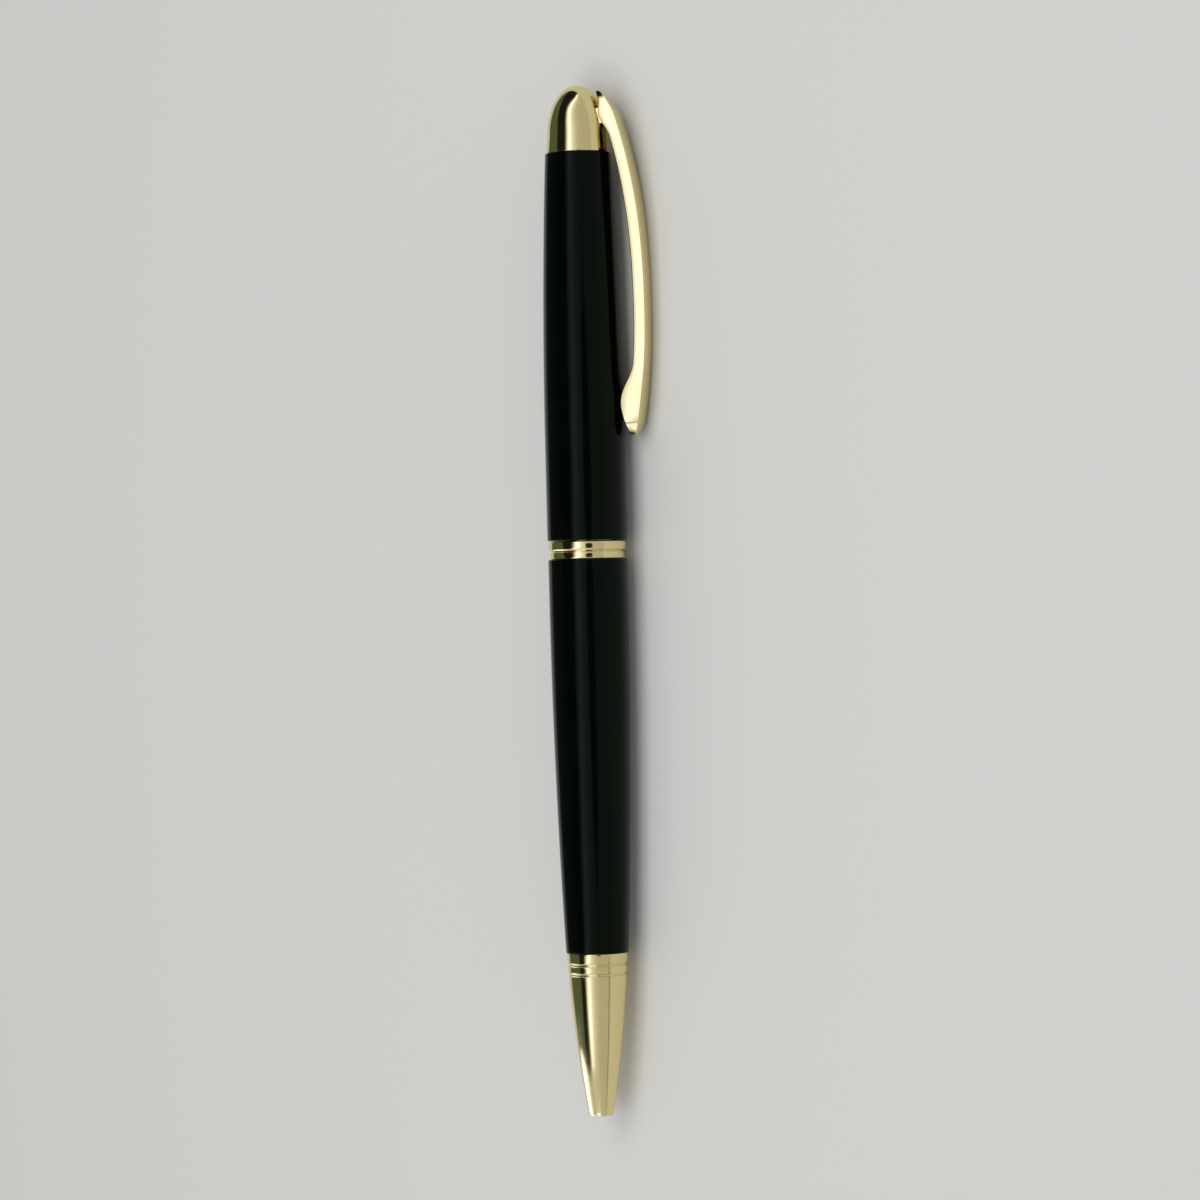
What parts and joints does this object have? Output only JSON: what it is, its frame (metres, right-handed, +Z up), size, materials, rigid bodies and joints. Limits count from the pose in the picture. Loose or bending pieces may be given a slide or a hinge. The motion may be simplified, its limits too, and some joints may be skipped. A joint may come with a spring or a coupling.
{
  "type": "gel pen",
  "caption": "Slim twist-action gel pen: black lacquered barrels, pale gold nose cone, beaded centre ring, dome cap and sprung pocket clip, with a full cam mechanism and refill inside.",
  "frame": {"origin": "on the pen's axis, in the middle of the straight seat just above the twist plane, where a notebook's pen loop holds it", "axes": "-Y along the pen towards the writing point, +Y towards the dome cap. +Z is up with the pen lying on a table on its barrel and its clip, so the clip points to +X and 24.1 degrees below level"},
  "size_m": [0.0139, 0.1315, 0.0102],
  "materials": {
    "black_lacquer": "deep black gloss lacquer on drawn brass tube",
    "gold_plate": "polished pale champagne-gold plating",
    "insert_brass": "turned, unplated",
    "mechanism_brass": "turned, unplated",
    "spring_steel": "drawn wire, bright",
    "plain_steel": "turned, fine satin",
    "ball_carbide": "ground and polished",
    "seal_rubber": "matte",
    "cam_plastic": "moulded, natural white",
    "refill_plastic": "moulded, white",
    "refill_tube_plastic": "translucent extruded tube",
    "gel_ink_black": "stands in for black gel ink",
    "ink_follower_gel": "stands in for clear follower grease"
  },
  "bodies": {
    "lower": {"nose_cone": "gold_plate", "front_insert": "insert_brass", "lower_barrel": "black_lacquer", "rear_insert": "insert_brass", "centre_ring": "gold_plate", "twist_housing": "mechanism_brass", "friction_ring": "seal_rubber", "cam_retainer": "spring_steel", "return_spring": "spring_steel"},
    "upper": {"upper_barrel": "black_lacquer", "barrel_liner": "insert_brass", "cam_sleeve": "cam_plastic", "top_insert": "insert_brass", "cap_stud": "plain_steel", "dome_cap": "gold_plate"},
    "clip": {"clip": "gold_plate"},
    "refill": {"plunger": "cam_plastic", "cross_pin": "plain_steel", "refill_end_plug": "refill_plastic", "refill_tube": "refill_tube_plastic", "ink_follower": "ink_follower_gel", "gel_ink": "gel_ink_black", "tip_holder": "refill_plastic", "refill_tip": "plain_steel"},
    "ball": {"writing_ball": "ball_carbide"}
  },
  "joints": [
    {"name": "twist", "type": "hinge", "parent": "lower", "child": "upper", "pos_m": [0, 0, 0], "axis": [0, -1, 0], "range_deg": [0, 180]},
    {"name": "refill_advance", "type": "slide", "parent": "lower", "child": "refill", "axis": [0, -1, 0], "range_m": [0, 0.0045], "deforming": ["return_spring"]},
    {"name": "clip_flex", "type": "hinge", "parent": "upper", "child": "clip", "pos_m": [0.0031, 0.04765, -0.00139], "axis": [0.4083, 0, 0.9128], "range_deg": [0, 3.5], "stiffness_Nm_per_rad": 7},
    {"name": "ball_roll", "type": "hinge", "parent": "refill", "child": "ball", "pos_m": [0, -0.07815, 0], "axis": [1, 0, 0], "continuous": true}
  ],
  "couplings": [
    {"joint": "twist", "follows": "refill_advance", "rad_per_m": 698.13}
  ]
}
